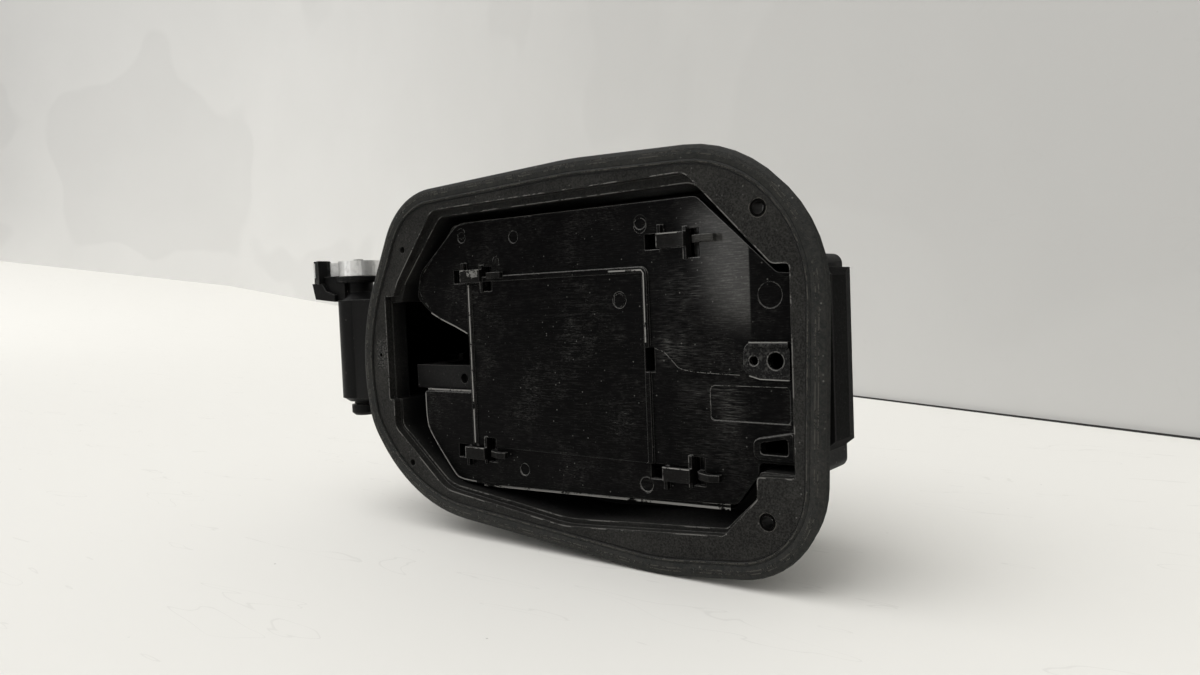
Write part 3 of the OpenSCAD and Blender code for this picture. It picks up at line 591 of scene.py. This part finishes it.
def bead_along(name, line, width, depth, material, body, closed=False):
    """A flat bead along a line of (x, z) points, its front at a depth behind the rim's."""
    count = len(line)
    points = []
    for i, (x, z) in enumerate(line):
        before = line[i - 1] if i or closed else line[i]
        after = line[(i + 1) % count] if i < count - 1 or closed else line[i]
        across = Vector((before[1] - after[1], after[0] - before[0]))
        side = across.normalized() * width / 2
        points.append((x + side.x, depth, z + side.y))
        points.append((x - side.x, depth, z - side.y))
        points.append((x - side.x, depth + THICK, z - side.y))
        points.append((x + side.x, depth + THICK, z + side.y))
    faces = []
    for i in range(count if closed else count - 1):
        here = 4 * i
        there = 4 * ((i + 1) % count)
        for k in range(4):
            beside = (k + 1) % 4
            faces.append((here + k, here + beside, there + beside, there + k))
    if not closed:
        last = 4 * (count - 1)
        faces.append((0, 1, 2, 3))
        faces.append((last, last + 3, last + 2, last + 1))
    closed_piece(name, points, faces, material, body)
    beads.append(name)


print("a bead is", THICK, "mm thick")

# %% Lines to lay a bead on
def circle(x, z, radius, steps=40):
    """A ring of (x, z) points round a middle."""
    turns = [2 * math.pi * i / steps for i in range(steps)]
    return [(x + radius * math.cos(a), z + radius * math.sin(a)) for a in turns]


def smooth_line(points):
    """A smooth line that goes through each of the points, in 8 steps between two."""
    steps = 8
    full = [points[0]] + points + [points[-1]]
    made = []
    for i in range(1, len(full) - 2):
        p, q, r, t = (Vector(full[i + k]) for k in (-1, 0, 1, 2))
        for step in range(steps):
            u = step / steps
            square = (2 * p - 5 * q + 4 * r - t) * u ** 2
            cube = (3 * q - p - 3 * r + t) * u ** 3
            v = 2 * q + (r - p) * u + square + cube
            made.append(tuple(v / 2))
    return made + [tuple(points[-1])]


print("a circle has", len(circle(0.0, 0.0, 1.0)), "points")

# %% [markdown]
# A bright line along an edge, which here is mostly a painted highlight, is
# never bright along its whole length. An Alpha that follows a noise leaves
# gaps in the bead, so that the dark face behind it shows. Three greys are
# enough for nearly all of the carrier's lines.

# %% A look for broken lines
def broken_line(name, tint, cover, scale=0.55):
    """A line's material, with gaps; cover is how much of the line is left."""
    finish = Finish(name)
    gaps = finish.noise(scale, 5.0, 0.72).ramp(0.62 - cover * 0.4, 0.72 - cover * 0.4)
    finish.feed(finish.shader.inputs["Alpha"], gaps * 0.9)
    return finish.set(color=(*tint, 1.0), rough=0.4, level=0.3)


# the faint and grey looks serve mould marks, and some painted highlights on edges too
faint = broken_line("line_faint", (0.055, 0.054, 0.051), 0.45)
grey = broken_line("line_grey", (0.12, 0.118, 0.112), 0.5)
# the brightest look, for painted highlights on edges
bright = broken_line("line_painted_highlight", (0.24, 0.236, 0.225), 0.62, 0.16)
print("looks of the lines:", [look.name for look in (faint, grey, bright)])

# %% [markdown]
# An ejector pushes the warm carrier out of its mould and leaves a ring. The
# blank dial on the label panel is drawn with two such rings. To the right an
# insert of the mould leaves its outline, and a weld line shows where two
# streams of plastic met.

# %% Ejectors and the blank dial
# an ON value is the depth of a bead's front in millimetres: that of the face
# under it, less a few hundredths
ON_CARRIER = 8.96
ON_LABEL = 8.55
ejectors = [
    (88.7, 24.9, 4.7),
    (-30.0, -46.6, 2.8),
    (33.9, -46.8, 3.1),
    (-62.7, 57.2, 2.4),
    (-31.0, 53.5, 2.7),
    (35.1, 53.0, 2.9),
    (-42.0, 44.0, 1.8),
]
for i, (x, z, radius) in enumerate(ejectors):
    ring = circle(x, z, radius)
    bead_along("ejector_%d" % i, ring, 0.3, ON_CARRIER, faint, "door", closed=True)
for i, radius in enumerate((3.3, 2.5)):
    ring = circle(24.4, 25.0, radius)
    bead_along("dial_%d" % i, ring, 0.22, ON_LABEL, faint, "door", closed=True)
print("rings:", beads)

# %% The insert's outline and the weld line
insert_line = [
    (95.2, -7.1), (65.6, -7.1), (64.2, -7.7), (63.6, -9.1),
    (63.6, -18.0), (64.2, -19.3), (65.6, -19.9), (95.2, -19.9),
]
bead_along("insert_line", insert_line, 0.22, ON_CARRIER, grey, "door")
weld = smooth_line([(40.0, 6.2), (44.0, 4.8), (48.0, 1.2), (51.4, -1.4), (60.0, -2.6), (76.0, -3.2)])
bead_along("weld_line", weld, 0.22, ON_CARRIER, grey, "door")
print("made", beads[-2:])

# %% [markdown]
# Some edges get a painted highlight: the two edges of the lower lip, the
# arm's root, the frame of the label panel and the outline at the left. The
# Bevel node already lightens them, but it fades where an edge is only a few
# pixels wide, so the brightest ones get a bead too.

# %% Painted highlights on the carrier's edges
ON_LIP = 9.75
ON_ARM_ROOT = 9.95
ON_FRAME = 7.78
bead_along("lip_upper", [(-56.0, -53.8), (70.0, -50.4)], 0.7, ON_LIP, bright, "door")
bead_along("lip_lower", [(-56.0, -55.9), (70.0, -52.2)], 0.9, ON_LIP, bright, "door")
bead_along("arm_edge", [(-91.0, -13.6), (-62.0, -13.6)], 0.7, ON_ARM_ROOT, bright, "door")
bead_along("panel_left", [(-58.5, 34.0), (-58.5, -36.5)], 0.7, ON_FRAME, bright, "door")
panel_corner = [(36.6, 8.5), (36.6, 35.0), (35.6, 36.2), (20.0, 36.3)]
bead_along("panel_right", panel_corner, 0.6, ON_FRAME, bright, "door")
print("made", beads[-5:])

# %% Painted highlights on the outline at the left of the carrier
low_left = smooth_line([
    (-91.6, -15.4), (-91.2, -28.0), (-88.0, -35.2), (-75.0, -50.6), (-70.0, -53.8), (-60.0, -54.6),
])
bead_along("edge_low_left", low_left, 0.5, ON_CARRIER, bright, "door")
up_left = smooth_line([
    (-85.6, 24.0), (-91.4, 30.5), (-90.6, 39.0), (-72.0, 56.2), (-62.0, 61.4), (-20.0, 61.4),
])
bead_along("edge_up_left", up_left, 0.4, ON_CARRIER, faint, "door")
notch = smooth_line([(-85.0, 22.2), (-78.0, 19.0), (-69.0, 15.6), (-61.5, 12.4)])
bead_along("edge_notch", notch, 0.5, ON_CARRIER, bright, "door")
print("made", beads[-3:])

# %% [markdown]
# The striker plate is thin steel, so its punched holes and its rolled upper
# edge catch the light; their beads are painted highlights. The four clips for
# the outer skin stand in front of the carrier, each with a bridge and a tall
# web, whose edges get beads of painted highlight, and one bridge has a
# painted glint.

# %% Edges of the striker plate
ON_PLATE = 7.56
ON_ROLLED_EDGE = 6.5
large_hole = circle(90.8, 2.1, 3.3)
small_hole = circle(82.4, 2.1, 1.95)
lower_edge = [(80.5, -3.2), (84.6, -4.3), (95.8, -4.5)]
# painted highlights round the holes and along the rolled and lower edges
bead_along("plate_hole_large", large_hole, 0.3, ON_PLATE, grey, "door", closed=True)
bead_along("plate_hole_small", small_hole, 0.25, ON_PLATE, grey, "door", closed=True)
bead_along("plate_roll", [(81.3, 8.5), (95.8, 8.5)], 0.6, ON_ROLLED_EDGE, bright, "door")
bead_along("plate_low", lower_edge, 0.35, ON_PLATE, bright, "door")
print("made", beads[-4:])

# %% Edges of the four clips
ON_BRIDGE = 5.76
ON_BRIDGE_BEAD = 5.74
ON_WEB = 7.56
clips = [(-55.6, 38.0, 1), (50.2, 46.6, 1), (-57.2, -41.0, -1), (49.4, -41.0, -1)]
# painted highlights along each bridge's top and end edges and along its web's edge
for i, (x, z, way) in enumerate(clips):
    top = [(x - 5.8, z + 2.45), (x + 5.8, z + 2.45)]
    end = [(x - 5.75, z + 2.3), (x - 5.75, z - 2.5)]
    web = [(x + 4.8, z - 7.3 * way), (x + 4.8, z + 4.4 * way)]
    bead_along("bridge_top_%d" % i, top, 0.4, ON_BRIDGE, bright, "door")
    bead_along("bridge_end_%d" % i, end, 0.35, ON_BRIDGE, grey, "door")
    bead_along("web_edge_%d" % i, web, 0.3, ON_WEB, grey, "door")
# a painted glint on the top left clip's bridge
glint_look = broken_line("glint_look", (0.16, 0.157, 0.15), 0.42, 0.5)
bead_along("bridge_glint", [(-57.0, 38.4), (-50.4, 39.0)], 3.0, ON_BRIDGE_BEAD, glint_look, "door")
print("marks on the carrier:", len(beads))

# %% [markdown]
# ## The rim and its mouth
#
# The rim carries fine concentric beads and grooves, drawn as lines of
# painted highlight on the beads and of painted shade in the grooves. Its
# outline isn't a simple shape: it is a line of straight runs with a round
# corner between each two. So it is rebuilt here from its corners and their
# radii, and each bead is that line moved inwards. The edge of the flange's
# mouth and the edge of the drain ledge behind it are made in the same way,
# with painted highlights. Rings moved inwards by hand would be more numbers
# and would follow the corners less well.

# %% Lines with round corners
def rounded(corners, steps=12):
    """A closed line of (x, z) through corners of (x, z, radius), anticlockwise."""
    made = []
    for i, (x, z, radius) in enumerate(corners):
        here = Vector((x, z))
        towards_last = (Vector(corners[i - 1][:2]) - here).normalized()
        towards_next = (Vector(corners[(i + 1) % len(corners)][:2]) - here).normalized()
        half = towards_last.angle(towards_next) / 2
        bisector = (towards_last + towards_next).normalized()
        middle = here + bisector * radius / math.sin(half)
        first = here + towards_last * radius / math.tan(half) - middle
        last = here + towards_next * radius / math.tan(half) - middle
        start = math.atan2(first.y, first.x)
        sweep = first.angle_signed(last)
        for step in range(steps + 1):
            a = start - sweep * step / steps
            made.append((middle.x + radius * math.cos(a), middle.y + radius * math.sin(a)))
    return made


def inside(line, shift):
    """A closed line moved inwards, or outwards where shift is below 0."""
    moved = []
    for i, (x, z) in enumerate(line):
        before = line[i - 1]
        after = line[(i + 1) % len(line)]
        ahead = Vector((after[0] - before[0], after[1] - before[1])).normalized()
        moved.append((x - ahead.y * shift, z + ahead.x * shift))
    return moved


rim_line = rounded([
    (-129.1, 11.5, 89), (-122.8, -30, 34), (-94.9, -67.3, 77), (43.2, -78.4, 100),
    (109.2, -71.3, 36), (114.8, 77.6, 54), (7.9, 81.2, 200), (-96.2, 77.3, 36),
])
print("rim line:", len(rim_line), "points")

# %% The painted highlight on the mouth's edge
ON_FLANGE = 0.86
CORNER_STEPS = 5
edge_highlight_look = broken_line("line_edge_highlight", (0.13, 0.127, 0.12), 0.42, 0.09)
mouth = rounded([
    (-107.9, 30.6, 1), (-107.9, -18.2, 1), (-104.9, -18.2, 1), (-104.9, -31, 5),
    (-72, -57.5, 18), (-2, -65.5, 60), (72, -59.6, 4), (85.6, -45, 3),
    (85.6, -37.2, 1.5), (100, -36.6, 1.5), (100, 35.2, 1.5), (93.5, 35.2, 4),
    (60.5, 69.6, 8), (-72.8, 68.1, 7), (-98.2, 37.4, 6), (-102, 30.6, 1),
], CORNER_STEPS)
mouth_edge = inside(mouth, -0.3)
bead_along("mouth_edge", mouth_edge, 0.4, ON_FLANGE, edge_highlight_look, "housing", closed=True)
print("mouth:", len(mouth), "points")

# %% [markdown]
# Of the ledge behind the mouth only the runs along the bottom and along the
# top get a painted highlight. Each corner of the line has the same number of
# points, so a run is the slice from its first corner to its last: corners 3
# to 6 lie along the bottom, and corners 12 to 14 along the top.

# %% Painted highlights on the edges of the drain ledge
ON_LEDGE = 4.46
PER_CORNER = CORNER_STEPS + 1
ledge = rounded([
    (-107.4, 27.8, 1), (-107.4, -18.2, 1), (-103.3, -18.2, 1), (-103.3, -30.4, 5),
    (-71.4, -55.6, 17), (-2, -63.2, 60), (71.4, -57.8, 4), (85, -44.6, 3),
    (85, -36.2, 1.5), (101.6, -36.2, 1.5), (101.6, 36.6, 1.5), (94.4, 36.6, 4),
    (61.8, 66, 8), (-71.4, 65.2, 7), (-96.8, 36.6, 6), (-100.6, 27.8, 1),
], CORNER_STEPS)
ledge_line = inside(ledge, -0.3)
low_run = ledge_line[3 * PER_CORNER:7 * PER_CORNER]
top_run = ledge_line[12 * PER_CORNER:15 * PER_CORNER]
bead_along("ledge_low", low_run, 0.35, ON_LEDGE, edge_highlight_look, "housing")
bead_along("ledge_top", top_run, 0.35, ON_LEDGE, edge_highlight_look, "housing")
print("ledge:", len(low_run), "points below and", len(top_run), "above")

# %% The rim's beads and grooves
# lines of painted highlight on the beads' crests, and of painted shade in the grooves
faint_highlight = broken_line("line_faint_highlight", (0.05, 0.047, 0.04), 0.45, 0.2)
groove_shade = broken_line("line_groove_shade", (0.002, 0.002, 0.002), 0.9)
rim_lines = [
    # name, how far inwards, width, depth of its front, look
    ("bead_outer", 2.2, 0.3, 0.08, faint_highlight),
    ("bead_mid", 3.3, 0.35, -0.02, faint_highlight),
    ("groove_mid", 5.2, 0.45, 0.5, groove_shade),
    ("bead_inner", 6.1, 0.35, -0.02, faint_highlight),
    ("groove_inner", 7.0, 0.5, 0.86, groove_shade),
]
for name, inwards, width, depth, look in rim_lines:
    bead_along(name, inside(rim_line, inwards), width, depth, look, "housing", closed=True)
print("made", beads[-5:])

# %% [markdown]
# Where the rubber was let into the mould, at the left, there is a rough patch
# with a small hole, drawn as a near-black disc of painted shade, and the notch
# for the arm ends in an edge with a painted highlight. The two screw sleeves
# each have a ring of painted highlight round them.

# %% The gate's patch, the notch and the screws
ON_PATCH = 0.8
ON_NOTCH = 0.85
patch_black = (0.004, 0.004, 0.004)
patch_grey = (0.07, 0.069, 0.064)
hole_shade = Finish("hole_shade_dark").set(color=(0.001, 0.001, 0.001, 1.0), rough=0.9, level=0.0)
patch = Finish("gate_grain")
patch_color = patch.mix(patch.noise(1.1, 4.0, 0.8).ramp(0.47, 0.6), patch_black, patch_grey)
gate_grain = patch.set(color=patch_color, rough=0.7, level=0.2)
hole = circle(-112.8, 3.0, 0.45, 12)
bead_along("gate_patch", [(-112.0, 10.4), (-112.0, -3.6)], 7.6, ON_FLANGE, gate_grain, "housing")
# a near-black disc of painted shade for the small hole
bead_along("gate_hole", hole, 0.8, ON_PATCH, hole_shade, "housing", closed=True)
# a painted highlight along the notch's edge
bead_along("notch_edge", [(-108.2, 29.0), (-108.2, -17.6)], 0.35, ON_NOTCH, grey, "housing")
# rings of painted highlight round the screw sleeves
for i, z in enumerate((54.4, -52.6)):
    ring = circle(89.2, z, 3.3)
    bead_along("screw_ring_%d" % i, ring, 0.3, ON_FLANGE, faint_highlight, "housing", closed=True)
print("beads in all:", len(beads))

# %% [markdown]
# Under the spring's lug a small web fills the corner between the lug's foot
# and the collar. It is a prism: one outline seen from the front, drawn at two
# depths, with a side between each two neighbouring corners.

# %% The web under the spring's lug
WEB_DEPTHS = (10.5, 17.3)
outline = [(-170.5, 35.5), (-160.0, 30.2), (-152.0, 30.2), (-152.0, 42.6), (-168.8, 42.6)]
sides = len(outline)
points = [(x, depth, z) for depth in WEB_DEPTHS for x, z in outline]
faces = [tuple(range(sides)), tuple(range(2 * sides - 1, sides - 1, -1))]
for i in range(sides):
    after = (i + 1) % sides
    faces.append((i, after, sides + after, sides + i))
closed_piece("lug_web", points, faces, finishes["hinge_pocket"], "housing")
print("web:", len(points), "points and", len(faces), "faces")

# %% [markdown]
# ## Floor and wall
#
# The part stands on the lowest point of its rim, on a white sheet in front of
# a pale wall. Their white comes from their own colour, not from more light
# on the object. The wall is darker to the right, which is painted shade, and
# has a few large darker blots, and both carry faint specks of dirt and thin
# scratches. One bent sheet could be both floor and wall, but the photograph
# shows a dark joint between them, so they are two, with a thin line of their
# own for it.

# %% A pale paint
def paint(name, tint, fall, far, blots, specks):
    """Pale paint, with its full tint to the left of X = far mm, and darker at the right as painted
    shade.

    fall is how dark it gets there, and blots and specks say how strong its
    large darker blots and its specks of dirt are.
    """
    dirt = (0.22, 0.21, 0.19)
    finish = Finish(name)
    # a soft cloud, and painted shade that darkens the paint to the right of X = far
    cloud_and_shade = finish.noise(0.004, 3.0, 0.5) * 0.2 + finish.axis("X").ramp(250.0, far) * 0.8
    darker = tuple(fall * v for v in tint)
    base = finish.mix(cloud_and_shade, darker, tint)
    blot = finish.noise(0.0021, 2.0, 0.35).ramp(0.52, 0.55) * blots
    base = finish.mix(blot, base, tuple(0.6 * v for v in tint))
    dots = grains(finish, 0.06, 0.5, 0.04) * finish.noise(0.02, 2.0).ramp(0.4, 0.6)
    scratch = finish.noise(1.0, 2.0, 0.4, finish.stretched(0.012, 0.06, 0.05), 0.8)
    scratch = scratch.ramp(0.655, 0.66) * scratch.ramp(0.668, 0.663)
    color = finish.mix(((dots + scratch * 0.1) * specks).clamped(), base, dirt)
    return finish.set(color=color, rough=0.6, level=0.3)


floor_white = paint("floor_white", (0.79, 0.78, 0.745), fall=1.0, far=-900.0, blots=0.0, specks=1.0)
wall_white = paint("wall_white", (0.84, 0.835, 0.815), fall=0.70, far=-2600.0, blots=0.12, specks=0.25)
dark_joint = Finish("joint_dark").set(color=(0.02, 0.02, 0.019, 1.0), rough=0.8)
print("paints:", [look.name for look in (floor_white, wall_white, dark_joint)])

# %% A smooth surface through rows of points
def sheet_of(name, rows, material):
    """A smooth surface through rows of points in metres."""
    wide = len(rows[0])
    faces = []
    for i in range(len(rows) - 1):
        for j in range(wide - 1):
            near = i * wide + j
            far = near + wide
            faces.append((near, near + 1, far + 1, far))
    mesh = bpy.data.meshes.new(name)
    mesh.from_pydata([tuple(point) for row in rows for point in row], [], faces)
    mesh.polygons.foreach_set("use_smooth", [True] * len(mesh.polygons))
    mesh.materials.append(material)
    made = bpy.data.objects.new(name, mesh)
    bpy.context.scene.collection.objects.link(made)


# %% [markdown]
# The sheet that the part stands on bends up slightly far to the left, so the
# line where it meets the wall isn't level. The points below are on that line,
# in metres, as X, Y and the rise above the ground. The floor runs from a
# straight line near the viewer to that line, and rises only in its last part.

# %% Where floor and wall meet
GAP = 0.0002
ground = solids_box[0][2] - GAP
meeting = [
    (1.20, -0.24, 0.0), (0.60, 0.09, 0.0), (0.187, 0.321, 0.0), (0.053, 0.389, 0.0),
    (-0.169, 0.503, 0.0), (-0.53, 0.69, 0.003), (-1.21, 1.08, 0.028), (-1.98, 1.30, 0.098),
    (-2.72, 1.32, 0.196), (-3.9, 0.9, 0.36),
]
meeting = [Vector((x, y, ground + rise)) for x, y, rise in meeting]
print("ground at", round(ground, 4))

# %% The floor
FLOOR_STEPS = 12
nearer = [Vector((2.0 - 0.45 * k, -3.0, ground)) for k in range(len(meeting))]
rows = []
for step in range(FLOOR_STEPS + 1):
    share = step / FLOOR_STEPS
    row = []
    for near, far in zip(nearer, meeting):
        late = Vector((0, 0, (share ** 4 - share) * (far.z - ground)))
        row.append(near.lerp(far, share) + late)
    rows.append(row)
sheet_of("floor", rows, floor_white)
print("floor:", len(rows), "rows of", len(rows[0]), "points")

# %% The wall and its joint
WALL_HEIGHT = 4.0
JOINT_HEIGHT = 0.0016
top_of_wall = [point + Vector((0, 0, WALL_HEIGHT)) for point in meeting]
sheet_of("wall", [meeting, top_of_wall], wall_white)
joint = [point + Vector((-0.0015, -0.003, 0.0)) for point in meeting[1:6]]
top_of_joint = [point + Vector((0, 0, JOINT_HEIGHT)) for point in joint]
sheet_of("joint_line", [joint, top_of_joint], dark_joint)
print("wall:", len(top_of_wall), "points wide, joint:", len(joint))

# %% [markdown]
# ## Light
#
# The photograph's light is soft, as in a pale room. A world that is lighter
# high up, and lighter on the viewer's side than behind the part, stands for
# the room. A sun with a very wide angle comes from the left, in
# front and above, and gives the soft shadow. One lamp lights the far left of
# the wall. A small one at the left in front is there for the gloss alone:
# the carrier mirrors it to the camera. Together they stay at a level at
# which a colour renders about as it is written.

# %% The room's light
WARM_WHITE = (1.0, 0.99, 0.97, 1.0)
world = bpy.data.worlds.new("room")
world.use_nodes = True
room = Tree(world.node_tree)
sky = world.node_tree.nodes["Background"]
towards = room.node("ShaderNodeTexCoord", out="Generated")
height = room.node("ShaderNodeSeparateXYZ", None, {0: towards}, "Z")
front = room.node("ShaderNodeSeparateXYZ", None, {0: towards}, "Y") * -0.5 + 0.5
room.feed(sky.inputs["Color"], WARM_WHITE)
room.feed(sky.inputs["Strength"], 0.07 + height.ramp(0.1, 0.75) * (0.55 + front * 0.8))
bpy.context.scene.world = world
print("nodes in the world:", len(world.node_tree.nodes))

# %% The sun and the lamps
TOWARDS_SUN = (-0.26, -0.34, 0.90)


def softbox(name, place, aim, width, height, power):
    """A rectangular lamp in metres and watts that shines from place to aim."""
    lamp = bpy.data.lights.new(name, "AREA")
    lamp.shape = "RECTANGLE"
    lamp.size = width
    lamp.size_y = height
    lamp.energy = power
    made = bpy.data.objects.new(name, lamp)
    made.location = place
    made.rotation_euler = (Vector(aim) - Vector(place)).to_track_quat("-Z", "Y").to_euler()
    bpy.context.scene.collection.objects.link(made)


day = bpy.data.lights.new("day", "SUN")
day.energy = 1.25
day.angle = 1.1
sun = bpy.data.objects.new("day", day)
sun.rotation_euler = Vector(TOWARDS_SUN).to_track_quat("Z", "Y").to_euler()
bpy.context.scene.collection.objects.link(sun)
softbox("far_left", (-2.6, -0.3, 1.0), (-2.7, 1.3, 0.5), width=1.2, height=1.2, power=3.5)
carrier_middle = (0.068, -0.068, 0.038)
softbox("front_left", (-0.43, -0.88, 0.10), carrier_middle, width=0.10, height=0.15, power=0.3)
print("lamps:", [lamp.name for lamp in bpy.data.lights])
